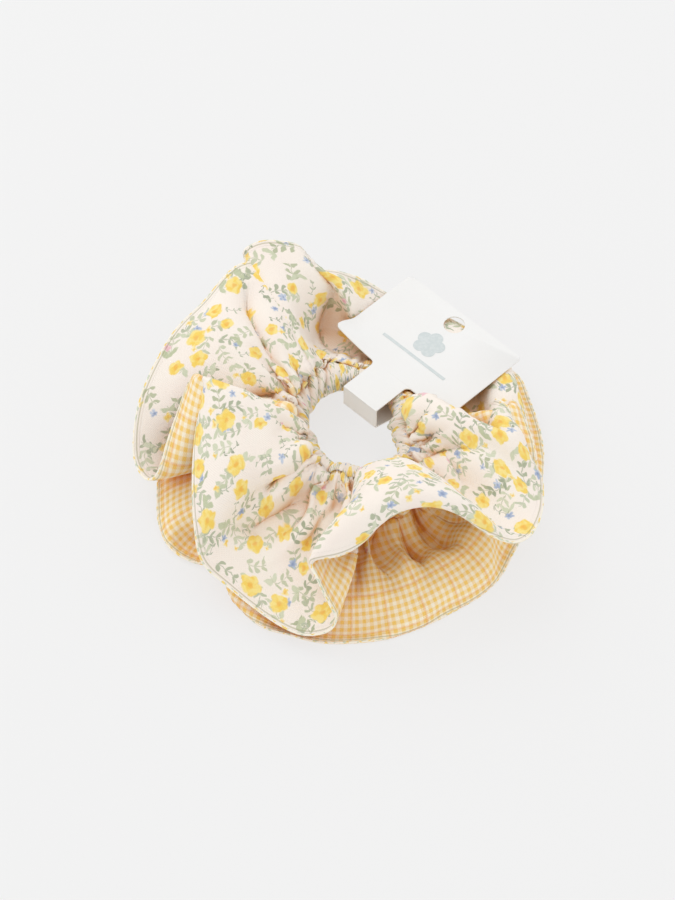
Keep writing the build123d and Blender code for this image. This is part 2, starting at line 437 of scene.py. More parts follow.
def spray(tree, place, base, kind):
    # a bent stem with slanted leaves on both sides
    turned, pick, there = scatter(tree, place, kind)
    axes = addNode(tree, "SeparateXYZ", {}, [turned])
    square = addNode(tree, "Math", times, [axes.outputs[1], axes.outputs[1]])
    side = addNode(tree, "Math", timesPlus, [square, kind["bend"], axes.outputs[0]])
    side = addNode(tree, "Math", absolute, [side])
    along = addNode(tree, "Math", absolute, [axes.outputs[1]])
    half = kind["step"] / 2
    step = addNode(tree, "Math", {"operation": "WRAP"}, [axes.outputs[1], half, -half])
    out = addNode(tree, "Math", minus, [side, kind["leafOut"]])
    lean, rise = math.cos(floral["lean"]), math.sin(floral["lean"])
    lengthwise = addNode(tree, "Math", times, [out, lean / kind["leaf"][0]])
    lengthwise = addNode(tree, "Math", timesPlus, [step, rise / kind["leaf"][0], lengthwise])
    crosswise = addNode(tree, "Math", times, [out, -rise / kind["leaf"][1]])
    crosswise = addNode(tree, "Math", timesPlus, [step, lean / kind["leaf"][1], crosswise])
    leaf = addNode(tree, "CombineXYZ", {}, [lengthwise, crosswise, 0.0])
    leaf = addNode(tree, "VectorMath", {"operation": "LENGTH"}, [leaf]).outputs["Value"]
    leaf = addNode(tree, "MapRange", smoothStep, [leaf, 1.2, 0.75])
    soft = floral["edge"] / 2
    stem = addNode(tree, "MapRange", smoothStep, [side, kind["stem"] + soft, kind["stem"] - soft])
    mask = addNode(tree, "Math", {"operation": "MAXIMUM"}, [leaf, stem])
    tip = addNode(tree, "MapRange", smoothStep, [along, kind["long"], kind["long"] - 0.4])
    mask = addNode(tree, "Math", times, [mask, tip])
    mask = addNode(tree, "Math", times, [mask, there])
    tone = addNode(tree, "Mix", ofColour, {0: pick.outputs[2], 6: linear(kind["light"]),
                                           7: linear(kind["deep"])})
    tone = addNode(tree, "Mix", ofColour, {0: stem, 6: tone.outputs[2], 7: linear(kind["deep"])})
    return addNode(tree, "Mix", ofColour, {0: mask, 6: base, 7: tone.outputs[2]}).outputs[2]


def printedCotton():
    # screen-printed plain weave: soft watercolour blooms that bleed a little into the thread
    material, tree = newMaterial("screenPrintedCotton")
    flat = addNode(tree, "UVMap", {"uv_map": "cloth"})
    bleed = addNode(tree, "TexNoise", inPlane,
                    {"Vector": flat, "Scale": floral["bleedScale"], "Detail": 1.0})
    bleed = addNode(tree, "VectorMath", minus, [bleed.outputs["Color"], (0.5, 0.5, 0.5)])
    bleed = addNode(tree, "VectorMath", times, [bleed, (floral["bleed"], floral["bleed"], 0)])
    place = addNode(tree, "VectorMath", plus, [flat, bleed])
    cloudy = addNode(tree, "TexNoise", inPlane,
                     {"Vector": place, "Scale": floral["cloudScale"], "Detail": 1.0})
    colour = addNode(tree, "Mix", ofColour,
                     {0: cloudy, 6: linear(floral["ground"]), 7: linear(floral["blush"])}).outputs[2]
    for kind in floral["sprays"]:
        colour = spray(tree, place, colour, kind)
    for kind in floral["blossoms"]:
        colour = blossom(tree, place, colour, kind)
    # painted warm shade in the deep folds of the printed cotton
    colour = paintedFoldShade(tree, colour, floral["paintedShadeTint"], floral["paintedShadeStrength"])
    finishCotton(tree, flat, colour)
    return material


hemEdge = {"ground": "#FBF4E4", "sage": "#D3DAC2", "yellow": "#F8DA86", "fleck": 0.45}


def turnedHem():
    # the print runs over the turned edge, so it reads as cream with short flecks of leaf and flower
    material, tree = newMaterial("turnedCottonHem")
    place = addNode(tree, "UVMap", {"uv_map": "cloth"})
    colour = linear(hemEdge["ground"])
    for shade, shift in (("sage", 0.0), ("yellow", 60.0)):
        moved = addNode(tree, "VectorMath", plus, [place, (shift, 0, 0)])
        fleck = addNode(tree, "TexNoise", inPlane, {"Vector": moved, "Scale": hemEdge["fleck"],
                                                    "Detail": 1.0})
        fleck = addNode(tree, "MapRange", smoothStep, [fleck, 0.58, 0.68])
        colour = addNode(tree, "Mix", ofColour, {0: fleck, 6: colour, 7: linear(hemEdge[shade])}).outputs[2]
    # painted shade: the warm amber tint in deep folds, weaker on the hem
    colour = paintedFoldShade(tree, colour, floral["paintedShadeTint"], 0.6)
    finishMaterial(tree, {"Base Color": colour, "Roughness": cottonFace["roughness"], "IOR": 1.5,
                          "Specular IOR Level": 0.3, "Sheen Weight": cottonFace["sheen"]})
    return material


def spunThread():
    # twisted polyester: slanted plies with a slight gloss
    material, tree = newMaterial("spunPolyesterThread")
    place = addNode(tree, "TexCoord", {})
    ply = addNode(tree, "TexWave", {"bands_direction": "DIAGONAL"},
                  {"Vector": place.outputs["Object"], "Scale": 900.0})  # about one ply to a millimetre
    # painted shade: the thread is darker in the grooves between the plies
    colour = addNode(tree, "Mix", ofColour, {0: ply, 6: linear("#E6DCC4"), 7: linear("#F8F2E2")})
    twist = addNode(tree, "Bump", {}, {"Height": ply, "Distance": 0.00003})
    finishMaterial(tree, {"Base Color": colour.outputs[2], "Roughness": 0.5, "IOR": 1.55, "Normal": twist})
    return material


def braidedElastic():
    # rubber cores under a braided polyester sleeve: a ribbed matt white tape
    material, tree = newMaterial("braidedElastic")
    place = addNode(tree, "UVMap", {"uv_map": "cloth"})
    split = addNode(tree, "SeparateXYZ", {}, [place])
    braid = []
    for sign in (1, -1):
        slant = addNode(tree, "Math", timesPlus, [split.outputs[1], float(sign), split.outputs[0]])
        slant = addNode(tree, "Math", times, [slant, 2 * math.pi / 1.2])  # 1.2 mm plait
        braid.append(addNode(tree, "Math", {"operation": "SINE"}, [slant]))
    height = addNode(tree, "Math", {"operation": "MAXIMUM"}, braid)
    # painted shade: the tape is darker in the grooves of the braid, where the bump is low
    colour = addNode(tree, "Mix", ofColour, {0: height, 6: linear("#D9D6CE"), 7: linear("#F1EFEA")})
    plait = addNode(tree, "Bump", {}, {"Height": height, "Distance": 0.0001})
    finishMaterial(tree, {"Base Color": colour.outputs[2], "Roughness": 0.75, "IOR": 1.5, "Normal": plait})
    return material


def whitePaperboard():
    # clay-coated board: smooth and nearly white, with faint fibre under the coating
    material, tree = newMaterial("coatedPaperboard")
    place = addNode(tree, "TexCoord", {}).outputs["Object"]
    fibre = addNode(tree, "TexNoise", {}, {"Vector": place, "Scale": 1200.0, "Detail": 4.0})  # under 1 mm
    cloudy = addNode(tree, "TexNoise", {}, {"Vector": place, "Scale": 60.0, "Detail": 2.0})
    colour = addNode(tree, "Mix", ofColour, {0: cloudy, 6: linear("#EFEEEC"), 7: linear("#F3F3F2")})
    grain = addNode(tree, "Bump", {}, {"Height": fibre, "Distance": 0.00002})
    finishMaterial(tree, {"Base Color": colour.outputs[2], "Roughness": 0.55, "IOR": 1.5,
                          "Specular IOR Level": 0.35, "Normal": grain})
    return material


def printedInk():
    # thin flat offset ink: the board's grain shows through as fine pale specks
    material, tree = newMaterial("flatOffsetInk")
    place = addNode(tree, "TexCoord", {}).outputs["Object"]
    speck = addNode(tree, "TexNoise", {}, {"Vector": place, "Scale": 900.0, "Detail": 3.0})
    speck = addNode(tree, "MapRange", smoothStep, [speck, 0.35, 0.7])
    colour = addNode(tree, "Mix", ofColour, {0: speck, 6: linear("#D0D8D8"), 7: linear("#D9DFDF")})
    finishMaterial(tree, {"Base Color": colour.outputs[2], "Roughness": 0.6, "IOR": 1.5})
    return material


material = {
    "printed": printedCotton(),
    "checked": checkedCotton(),
    "hem": turnedHem(),
    "thread": spunThread(),
    "elastic": braidedElastic(),
    "card": whitePaperboard(),
    "ink": printedInk(),
}
print("materials are made")

# Each row is a point of the hem: x, y and height, the angle at which that part of the
# cloth leaves the band, and how far it domes up (1) or sinks into a valley (-1).
upperFolds = [
    (14, 62, 21, 76, 0.0),
    (30, 54, 18, 66, 0.0),
    (46, 42, 18, 58, 0.0),
    (58, 31, 19, 52, -0.3),
    (54, 36, 23, 50, 0.1),
    (43, 43, 24, 48, 0.2),
    (33, 48, 23, 46, 0.3),
    (27, 48, 22, 45, 0.4),
    (28, 44, 23, 44, 0.6),
    (30.5, 41, 29, 42, 0.9),
    (36, 40, 31, 38, 1),
    (42, 37, 29, 33, 1),
    (52, 33, 27, 27, 1),
    (63, 29, 25, 20, 1),
    (69.5, 23, 25, 14, 1),
    (75.5, 15, 27, 9, 1),
    (79.5, 6.5, 29, 4, 1),
    (79, -1, 31, 0, 1),
    (74, -6, 34, -4, 1),
    (66, -9, 38, -8, 1),
    (59, -11, 41, -12, 1),
    (52, -15, 42, -17, 1),
    (46, -22, 41, -22, 1),
    (44, -30, 38, -27, 0.6),
    (44, -39, 35, -32, 0.4),
    (42, -48, 34, -37, 0.2),
    (37, -56, 34, -42, -0.6),
    (43, -59, 30, -45, -0.6),
    (48, -59, 22, -48, -0.3),
    (50, -58, 15, -51, 0.3),
    (49, -61, 9, -54, 0.8),
    (44, -66, 6, -57, 1),
    (37, -69, 6, -61, 0.8),
    (25, -71, 8, -66, 0.2),
    (12, -73, 12, -73, 1),
    (2, -75, 17, -82, 1.3),
    (-6, -70, 25, -92, 1.3),
    (-17, -60, 31, -102, 1.3),
    (-28, -48, 36, -113, 1.3),
    (-37, -36, 40, -125, 1.3),
    (-44, -32, 42, -135, 0.8),
    (-44, -37, 38, -138, 0.3),
    (-42, -43, 33, -140, 0),
    (-39, -51, 27, -142, -0.3),
    (-35, -60, 20, -144, -0.8),
    (-39, -63, 15, -145, -0.8),
    (-47, -61, 16, -147, -0.5),
    (-53, -55, 21, -149, 0),
    (-58, -47, 28, -152, 0.6),
    (-62, -37, 33, -156, 1),
    (-66, -22, 38, -162, 1),
    (-67, -7, 40, -169, 1),
    (-70, 6, 41, -175, 1),
    (-71, 15, 40, -179, 1),
    (-68, 24, 36, -182, 0.6),
    (-70, 22, 35, -184, 0.6),
    (-75, 20, 40, -187, 0.6),
    (-72, 26, 43, -190, 1),
    (-67, 30, 43, -193, 1),
    (-61, 35, 41, -197, 0.9),
    (-53, 36, 36, -201, 0.1),
    (-48, 42, 32, -204, 0.3),
    (-41, 48, 28, -211, 0.0),
    (-33, 53, 22, -220, -0.2),
    (-20, 58, 21, -234, -0.2),
    (-4, 62, 21, -254, -0.2),
]
lowerFolds = [
    (17, 68, 12, 74, 0.2),
    (29, 61, 12, 63, 0.3),
    (40, 54, 9, 52, 0.3),
    (49, 46, 7, 42, 0.3),
    (56, 37, 4, 33, 0.4),
    (62, 26, 2, 23, 0.4),
    (66, 14, 1, 12, 0.4),
    (70, 3, 1, 3, 0.3),
    (71, -8, 1, -6, 0.5),
    (69, -20, 1, -15, 0.2),
    (66, -32, 1, -24, 0.6),
    (61.5, -43, 1, -33, 0.2),
    (55, -52.5, 1, -42, 0.5),
    (46, -61.5, 1, -52, 0.3),
    (36.5, -66.5, 1, -60, 0.3),
    (27, -71, 1, -68, 0.3),
    (15, -70, 2, -76, 0.3),
    (8, -62, 8, -84, 0.4),
    (1, -61, 7, -90, 0.4),
    (-5, -67, 2, -97, 0.2),
    (-16, -71, 2, -105, 0.3),
    (-28, -67, 3, -115, 0.3),
    (-37, -59, 6, -123, 0.4),
    (-43, -53, 7, -131, 0.4),
    (-50, -50, 3, -138, 0.2),
    (-58, -43, 3, -145, 0.2),
    (-65, -34, 2, -151, 0.4),
    (-69, -24, 1, -157, 0.3),
    (-66, -14, 8, -164, 0.6),
    (-62, -6, 12, -170, 0.7),
    (-68, 2, 4, -176, 0.2),
    (-71, 12, 1, -182, 0.2),
    (-65, 20, 7, -189, 0.6),
    (-57, 24, 12, -195, 0.7),
    (-60, 34, 3, -202, 0.1),
    (-57, 45, 1, -209, 0.2),
    (-47, 45, 9, -217, 0.6),
    (-42, 45, 12, -224, 0.6),
    (-41, 55, 4, -231, 0.2),
    (-31, 61, 2, -239, 0.2),
    (-23, 54, 10, -248, 0.6),
    (-17, 58, 9, -255, 0.5),
    (-12, 67, 3, -262, 0.2),
    (-2, 67, 6, -270, 0.3),
    (3, 60, 11, -276, 0.5),
    (9, 66, 8, -281, 0.3),
]


def ringRadius(angle):
    turns = np.array([a for a, r in band["ring"]] + [360.0])
    radii = np.array([r for a, r in band["ring"]] + [band["ring"][0][1]], float)
    # even places round the list, then a smooth curve through it
    places = np.interp(np.degrees(angle) % 360, turns, np.arange(len(turns)))
    return smoothAlong(radii[:-1], places)


def layOut(folds, count):
    rows = np.array(folds, float)
    dense = 40
    places = np.arange(len(rows) * dense) / dense
    hem = smoothAlong(rows[:, :3], places)
    steps = np.linalg.norm(np.roll(hem, -1, 0) - hem, axis=1)
    length = steps.sum()
    run = np.concatenate([[0], np.cumsum(steps)])[:-1]
    wanted = np.arange(count) * length / count
    at = np.interp(wanted, np.append(run, length), np.append(places, len(rows)))
    hem = smoothAlong(rows[:, :3], at)
    turns = np.append(rows[:, 3], rows[0, 3] - 360)
    angle = np.radians(np.interp(at, np.arange(len(turns)), turns))
    dome = smoothAlong(rows[:, 4], at)
    # soften the angles so that the cloth leaves the band evenly
    slope = angle + 2 * np.pi * np.arange(count) / count
    for _ in range(12):
        slope = (np.roll(slope, 1) + 2 * slope + np.roll(slope, -1)) / 4
    angle = slope - 2 * np.pi * np.arange(count) / count
    return hem, angle, dome, length


# How a wing leaves the stitches: out and up at the middle and at the end of its first
# few millimetres, and how a domed part changes the end.
leaving = {
    "upper": {"middle": (5.6, 3.0), "end": (3.2, 5.4), "domed": (-2.4, 0.6)},
    "lower": {"middle": (5.4, -0.2), "end": (8.6, -1.0), "domed": (0.0, 0.0)},
    "mostDomed": 1.6,
    "long": 6.0,
}


def rootRows(angle, dome, rows, wing):
    lean = np.clip(dome, 0, leaving["mostDomed"])[:, None]
    share = np.linspace(0, 1, rows)[None, :]
    start, middle, last = (band["stitchOut"], 0.0), leaving[wing]["middle"], leaving[wing]["end"]
    end = [last[k] + leaving[wing]["domed"][k] * lean for k in (0, 1)]
    before, at, after = (1 - share) ** 2, 2 * share * (1 - share), share**2
    out, up = (start[k] * before + middle[k] * at + end[k] * after for k in (0, 1))
    radius = ringRadius(angle)[:, None] + out
    level = np.broadcast_to(band["height"] + up, radius.shape)
    return np.stack([radius * np.cos(angle)[:, None], radius * np.sin(angle)[:, None], level], axis=-1)


# Where the card presses on the cloth. Past each edge come two margins: the cloth is still
# pressed at the first and free at the second.
pressed = {
    "left": (1, 4), "right": (1.8, 5), "near": (2, 5), "far": (1, 4),
    "neckLeft": (1, 3), "neckRight": (2.5, 5),
    "neckFrom": 6.0,
    "notch": ((-33.5, -10.0), (13.0, 26.0)),  # x and y of the flattened cloth beside the neck
    "notchMargins": ((3, 8), (0, 4), (0, 5), (0, 10)),
    "sharp": (0, 2),
    "least": 0.02,
    "fading": 80.0, "free": 200.0,  # heights that no longer hold the cloth down
}
betweenWings = {"height": 19.0, "slope": 0.18, "from": 26.0, "droop": 0.01, "droopFrom": 50.0}
clearance = {"wings": 0.8, "card": 0.8, "table": 0.75}  # room for each sheet and its hem


def cornerCurl(x, y):
    # the card's near left corner has lifted
    start, end = card["curlFrom"]
    across = np.clip((start - x) / (start - card["left"]), 0, 1) ** card["curlPower"]
    return card["curl"] * across * (1 - fade(y, card["near"] + 1, end))


def within(value, low, high, lowMargins, highMargins):
    # 1 from low to high and as far as the first margins, 0 past the second
    rise = fade(value, low - lowMargins[1], low - lowMargins[0])
    return rise * fade(-value, -high - highMargins[1], -high - highMargins[0])


def cardUnder(x, y):
    right, neckRight = card["right"] + card["slide"], card["neckRight"] + card["slide"]
    sharp = pressed["sharp"]
    panel = within(x, card["left"], right, pressed["left"], pressed["right"])
    panel = panel * within(y, card["near"], card["far"], pressed["near"], pressed["far"])
    neck = within(x, card["neckLeft"], neckRight, pressed["neckLeft"], pressed["neckRight"])
    neck = neck * within(y, pressed["neckFrom"], card["far"] - 2, sharp, sharp)
    alongX, alongY = pressed["notch"]
    margins = pressed["notchMargins"]
    notch = within(x, *alongX, margins[0], margins[1]) * within(y, *alongY, margins[2], margins[3])
    share = np.maximum(np.maximum(panel, neck), notch)
    height = (card["frontUnder"] + cornerCurl(x, y)) * share + pressed["fading"] * (1 - share)
    return np.where(share > pressed["least"], height, pressed["free"])


def panelOver(x, y):
    sharp = pressed["sharp"]
    inside = within(x, card["left"], card["right"], sharp, sharp)
    inside = inside * within(y, card["near"], card["far"], sharp, sharp)
    return inside * (card["backCrease"] - card["backSlope"] * (y - card["spine"]))


def gapHeight(x, y):
    # the surface between the two wings: neither wing crosses it
    radius = np.hypot(x, y)
    droop = betweenWings["droop"] * np.maximum(radius - betweenWings["droopFrom"], 0) ** 2
    return betweenWings["height"] - betweenWings["slope"] * (radius - betweenWings["from"]) - droop


def keepUnderCard(grid):
    x, y, z = grid[..., 0], grid[..., 1], grid[..., 2]
    grid[..., 2] = np.minimum(z, cardUnder(x, y) - clearance["card"])


def keepClear(grid, wing):
    x, y = grid[..., 0], grid[..., 1]
    between = gapHeight(x, y)
    floor = np.maximum(panelOver(x, y), 0) + clearance["table"]
    if wing == "upper":
        grid[..., 2] = np.maximum(grid[..., 2], between + clearance["wings"])
        keepUnderCard(grid)
    else:
        ceiling = np.maximum(between - clearance["wings"], clearance["table"])
        grid[..., 2] = np.minimum(grid[..., 2], ceiling)
    grid[..., 2] = np.maximum(grid[..., 2], floor)


# The cloth solver works on a coarse mesh first and then on finer ones.
solver = {
    "gathered": 0.27,  # length of the root rows as a share of the hem's
    "opens": {"upper": 0.8, "lower": 0.6},  # how early on the way out the gathers open
    "weight": 0.004,
    "bend": 0.03,
    "threadPush": 0.35, "outPush": 0.9,  # how hard a squeezed thread pushes back, each way
    "shear": 0.06,
    "letGo": 1.5,  # the first shape is let go this much sooner than the rounds end
    "stages": [
        {"along": 140, "across": 12, "rounds": 300, "guide": 0.02, "hemHold": 0.5},
        {"along": 280, "across": 23, "rounds": 160, "guide": 0.0, "hemHold": 0.3},
        {"along": cloth["along"], "across": cloth["across"], "rounds": 90, "guide": 0.0, "hemHold": 0.15},
    ],
    "bowPeak": 0.8, "inward": 0.9,  # the first shape of a domed part
}


def pair(grid, first, second, rest, push):
    a, b = grid[first], grid[second]
    step = b - a
    far = np.maximum(np.linalg.norm(step, axis=-1, keepdims=True), tiny)
    gap = (far - rest) / far
    gap = np.where(gap < 0, gap * push, gap) * 0.5  # half each
    grid[first] = a + step * gap
    grid[second] = b - step * gap


def bending(grid):
    # how far each point stands off the bend of its neighbours, both ways
    second = np.roll(grid, 1, 0) + np.roll(grid, -1, 0) - 2 * grid
    bend = np.roll(second, 1, 0) + np.roll(second, -1, 0) - 2 * second
    second = np.zeros_like(grid)
    second[:, 1:-1] = grid[:, 2:] + grid[:, :-2] - 2 * grid[:, 1:-1]
    fourth = -2 * second
    fourth[:, 1:] += second[:, :-1]
    fourth[:, :-1] += second[:, 1:]
    return bend + fourth


def settle(grid, hem, root, length, stage, wing):
    along, across = grid.shape[:2]
    rounds, held = stage["rounds"], root.shape[1]
    share = np.linspace(0, 1, across)
    opening = solver["gathered"] + (1 - solver["gathered"]) * share ** solver["opens"][wing]
    restAlong = (length / along * opening)[None, :, None]
    restAcross = cloth["wing"] / (across - 1)
    even, odd = np.arange(0, along, 2), np.arange(1, along, 2)
    alongPairs = [(even, (even + 1) % along), (odd, (odd + 1) % along)]
    acrossPairs = [
        (np.s_[:, 0 : across - 1 : 2], np.s_[:, 1:across:2]),
        (np.s_[:, 1 : across - 1 : 2], np.s_[:, 2:across:2]),
    ]
    slant = np.hypot(restAlong[:, :-1], restAcross)
    diagonals = [(np.s_[:, :-1], np.s_[:, 1:]), (np.s_[:, 1:], np.s_[:, :-1])]
    start = grid.copy()
    for turn in range(rounds):
        hold = stage["guide"] * max(0.0, 1 - solver["letGo"] * turn / rounds)
        grid += hold * (start - grid)
        grid[..., 2] -= solver["weight"]
        grid -= solver["bend"] * bending(grid)
        for first, other in alongPairs:
            pair(grid, first, other, restAlong, solver["threadPush"])
        for first, other in acrossPairs:
            pair(grid, first, other, restAcross, solver["outPush"])
        # diagonals keep the cloth from shearing far
        ahead = np.roll(grid, -1, 0)
        for here, there in diagonals:
            step = ahead[there] - grid[here]
            far = np.maximum(np.linalg.norm(step, axis=-1, keepdims=True), tiny)
            push = step * ((far - slant) / far) * solver["shear"]
            grid[here] += push
            grid[there] -= np.roll(push, 1, 0)
        grid[:, -1] += stage["hemHold"] * (hem - grid[:, -1])
        keepClear(grid, wing)
        grid[:, :held] = root
        if wing == "upper":
            keepUnderCard(grid[:, :held])
    return grid


def refine(grid, along, across):
    grid = smoothAlong(grid, np.arange(along) * grid.shape[0] / along)
    turned = np.swapaxes(grid, 0, 1)
    turned = smoothAlong(turned, np.linspace(0, grid.shape[1] - 1, across), closed=False)
    return np.ascontiguousarray(np.swapaxes(turned, 0, 1))


# Creases of the wings. A path runs over the cloth as pairs of the angle round the band and
# the distance out from it; depth sinks it (or raises it, below 0), and width is how far
# its sides reach.
upperCreases = [
    {"path": [(-66, 8), (-67, 12), (-69, 17), (-71, 24), (-74, 31), (-79, 38), (-86, 48)],
     "depth": 13.0, "width": 3.6},
    {"path": [(-75, 7), (-78, 16), (-80, 24), (-85, 34)], "depth": -5.0, "width": 5.0},
    {"path": [(-57, 10), (-62, 20), (-66, 32), (-69, 46)], "depth": -3.0, "width": 4.5},
    {"path": [(-50, 7), (-54, 13), (-58, 19), (-60, 26), (-61, 36)], "depth": 5.5, "width": 2.6},
    {"path": [(-46, 9), (-47, 16), (-48, 24)], "depth": -2.0, "width": 3.0},
    {"path": [(2, 6), (9, 11), (16, 20), (20, 30), (22, 42)], "depth": 4.5, "width": 2.8},
    {"path": [(14, 6), (19, 10), (23, 16), (25, 27)], "depth": 3.5, "width": 2.2},
    {"path": [(-9, 6), (-2, 10), (5, 16), (6, 26)], "depth": 3.0, "width": 2.4},
    {"path": [(-20, 6), (-17, 12), (-12, 20)], "depth": 2.5, "width": 2.2},
    {"path": [(27, 6), (30, 12), (31, 22)], "depth": 2.5, "width": 2.2},
    {"path": [(40, 8), (38, 15), (36, 22), (34, 32), (35, 42)], "depth": -5.0, "width": 4.5},
    {"path": [(-196, 57), (-200, 50), (-203, 38), (-206, 28), (-210, 18), (-214, 10)],
     "depth": 6.5, "width": 3.4},
    {"path": [(-217, 54), (-220, 42), (-219, 30), (-222, 18)], "depth": 3.0, "width": 3.5},
    {"path": [(-236, 50), (-238, 36), (-236, 20)], "depth": 2.5, "width": 3.5},
    {"path": [(-178, 52), (-174, 42), (-171, 30), (-169, 18), (-168, 10)], "depth": 6.5, "width": 4.0},
    {"path": [(-156, 8), (-157, 13), (-157, 19), (-156, 26)], "depth": 4.5, "width": 3.0},
    {"path": [(-186, 36), (-187, 26), (-190, 16), (-192, 8)], "depth": 1.8, "width": 4.0},
    {"path": [(-90, 7), (-94, 15), (-97, 25), (-98, 36)], "depth": -3.5, "width": 5.5},
    {"path": [(-112, 7), (-111, 15), (-113, 26)], "depth": 2.2, "width": 2.6},
    {"path": [(-128, 7), (-127, 16), (-130, 26)], "depth": 2.0, "width": 2.6},
]
lowerCreases = [
    {"path": [(-13, 7), (-15, 16), (-16, 28), (-20, 45)], "depth": 6.5, "width": 4.0},
    {"path": [(-22, 8), (-27, 17), (-30, 28), (-30, 44)], "depth": 6.5, "width": 4.0},
    {"path": [(-18, 12), (-21, 24), (-24, 44)], "depth": -4.5, "width": 4.0},
    {"path": [(-2, 9), (-4, 22), (-7, 40)], "depth": 4.5, "width": 4.0},
    {"path": [(-38, 9), (-41, 24), (-43, 44)], "depth": 4.5, "width": 4.0},
    {"path": [(-50, 9), (-52, 24), (-54, 46)], "depth": 3.5, "width": 4.0},
    {"path": [(8, 9), (8, 24), (7, 40)], "depth": 3.0, "width": 4.0},
    {"path": [(-130, 14), (-133, 28), (-136, 48)], "depth": 3.5, "width": 4.0},
]
# a crease: how far along the ring it can reach, how steep its sides are and how its ends fade
creaseShape = {"samples": 36, "near": 70.0, "power": 1.3, "rise": 0.25, "fall": 0.6}

# Small pinches where the gathers run out, scattered round both wings
pinches = {
    "count": 44,
    "from": 70, "round": 355,  # degrees
    "start": (5.0, 9.0), "long": (6.0, 26.0), "drift": 5.0,
    "depth": (0.7, 2.0), "width": (1.3, 2.6),
    "none": (-76, -30),  # the deep notch of the upper wing stays clear of them
}


def scatteredPinches():
    found = []
    for k in range(pinches["count"]):
        turn = pinches["from"] - pinches["round"] * (k + chance.random()) / pinches["count"]
        start = chance.uniform(*pinches["start"])
        long = chance.uniform(*pinches["long"])
        bend, lean = chance.uniform(-pinches["drift"], pinches["drift"], 2)
        path = [(turn, start), (turn + bend, start + long / 2), (turn + lean, start + long)]
        depth = chance.uniform(*pinches["depth"])
        pinch = {"path": path, "depth": depth, "width": chance.uniform(*pinches["width"])}
        if not pinches["none"][0] < turn < pinches["none"][1]:
            found.append(pinch)
    return found


def addCreases(grid, angle, length, creases):
    along, across = grid.shape[:2]
    normal = normalsOf(grid)
    flat = grid.reshape(-1, 3)
    rows = np.repeat(np.arange(along), across)
    amount = np.zeros(along * across)
    last = creaseShape["samples"] - 1
    for crease in creases:
        path = np.array(crease["path"], float)
        line = smoothAlong(path, np.linspace(0, len(path) - 1.001, last + 1), closed=False)
        row = np.interp(-np.radians(line[:, 0]), -angle, np.arange(along))
        column = np.clip(line[:, 1] / cloth["wing"] * (across - 1), 0, across - 1)
        places = grid[np.round(row).astype(int) % along, np.round(column).astype(int)]
        # soften the steps that rounding to the mesh leaves
        for _ in range(3):
            places[1:-1] = (places[:-2] + 2 * places[1:-1] + places[2:]) / 4
        near = (np.abs(rows - row.mean()) * length / along) < creaseShape["near"]
        gap = np.linalg.norm(flat[near][:, None] - places[None], axis=2)
        way = gap.argmin(axis=1) / last
        ends = fade(way, 0.0, creaseShape["rise"]) * fade(-way, -1.0, -creaseShape["fall"])
        side = np.exp(-((gap.min(axis=1) / crease["width"]) ** creaseShape["power"]))
        amount[near] += crease["depth"] * side * ends
    return grid - normal * amount.reshape(along, across)[..., None]


def firstShape(hem, first, dome, across):
    # each thread from the band to the hem bows up, or down, by the length it has to spare
    share = np.linspace(0, 1, across)[None, :, None]
    chord = np.linalg.norm(hem - first, axis=1)
    spare = np.maximum(cloth["wing"] - chord, 0.5)
    lift = np.sqrt(3 * chord * spare / 8) * dome  # height of a flat arc that much longer than its chord
    inward = -first / np.linalg.norm(first[:, :2], axis=1, keepdims=True)
    inward[:, 2] = 0
    bow = np.sin(np.pi * share ** solver["bowPeak"])
    up = np.array([0, 0, 1.0])
    lean = solver["inward"] * (1 - share) * np.clip(dome, 0, 1)[:, None, None]
    grid = first[:, None] + (hem - first)[:, None] * share
    return grid + (up + inward[:, None] * lean) * bow * lift[:, None, None]


def drape(folds, wing):
    grid = None
    for stage in solver["stages"]:
        along, across = stage["along"], stage["across"]
        hem, angle, dome, length = layOut(folds, along)
        rows = max(2, round(leaving["long"] / cloth["wing"] * (across - 1)) + 1)
        root = rootRows(angle, dome, rows, wing)
        grid = firstShape(hem, root[:, 0], dome, across) if grid is None else refine(grid, along, across)
        grid = settle(grid, hem, root, length, stage, wing)
    return grid, angle, length


# Pleats run out from the stitches, and no two are the same.
pleats = {
    "fine": {"count": 29, "height": 1.5, "reach": 17.0, "power": 0.75},
    "broad": {"count": 13, "height": 1.9, "reach": 36.0, "power": 0.9},
}
uneven = {"wobble": (-0.4, 0.4), "size": (0.45, 1.4), "long": (0.5, 1.5)}
calm = {"from": (-86, -76), "to": (30, 38)}  # degrees: no pleats in the deep notch of the wing
for kind in pleats.values():
    for what, (low, high) in uneven.items():
        kind[what] = low + (high - low) * chance.random(kind["count"])


def pleatAt(kind, angle):
    # how high each place round the ring stands in its pleat, and how far that pleat reaches out
    count = kind["count"]
    phase = (-np.asarray(angle) / (2 * np.pi) * count) % count
    shape = phase.shape
    phase = phase.ravel()
    size = smoothAlong(kind["size"], phase)
    long = smoothAlong(kind["long"], phase)
    phase = phase + smoothAlong(kind["wobble"], phase)
    # round ridges between sharp valleys
    ridge = 2 * np.abs(np.sin(np.pi * phase)) ** kind["power"] - 1
    return (ridge * size).reshape(shape), long.reshape(shape)


def addPleats(grid, angle, kind, more):
    ridge, long = pleatAt(kind, angle)
    run = np.linspace(0, cloth["wing"], grid.shape[1])
    fall = 1 - fade(run[None, :], 3.0, kind["reach"] * long[:, None])
    rise = fade(run, -0.5, 4.0)[None, :]
    degrees = np.degrees(angle)
    there = 1 - fade(degrees, *calm["from"]) * fade(-degrees, *calm["to"])
    amount = kind["height"] * more * ridge[:, None] * fall * rise * there[:, None]
    return grid + normalsOf(grid) * amount[..., None]


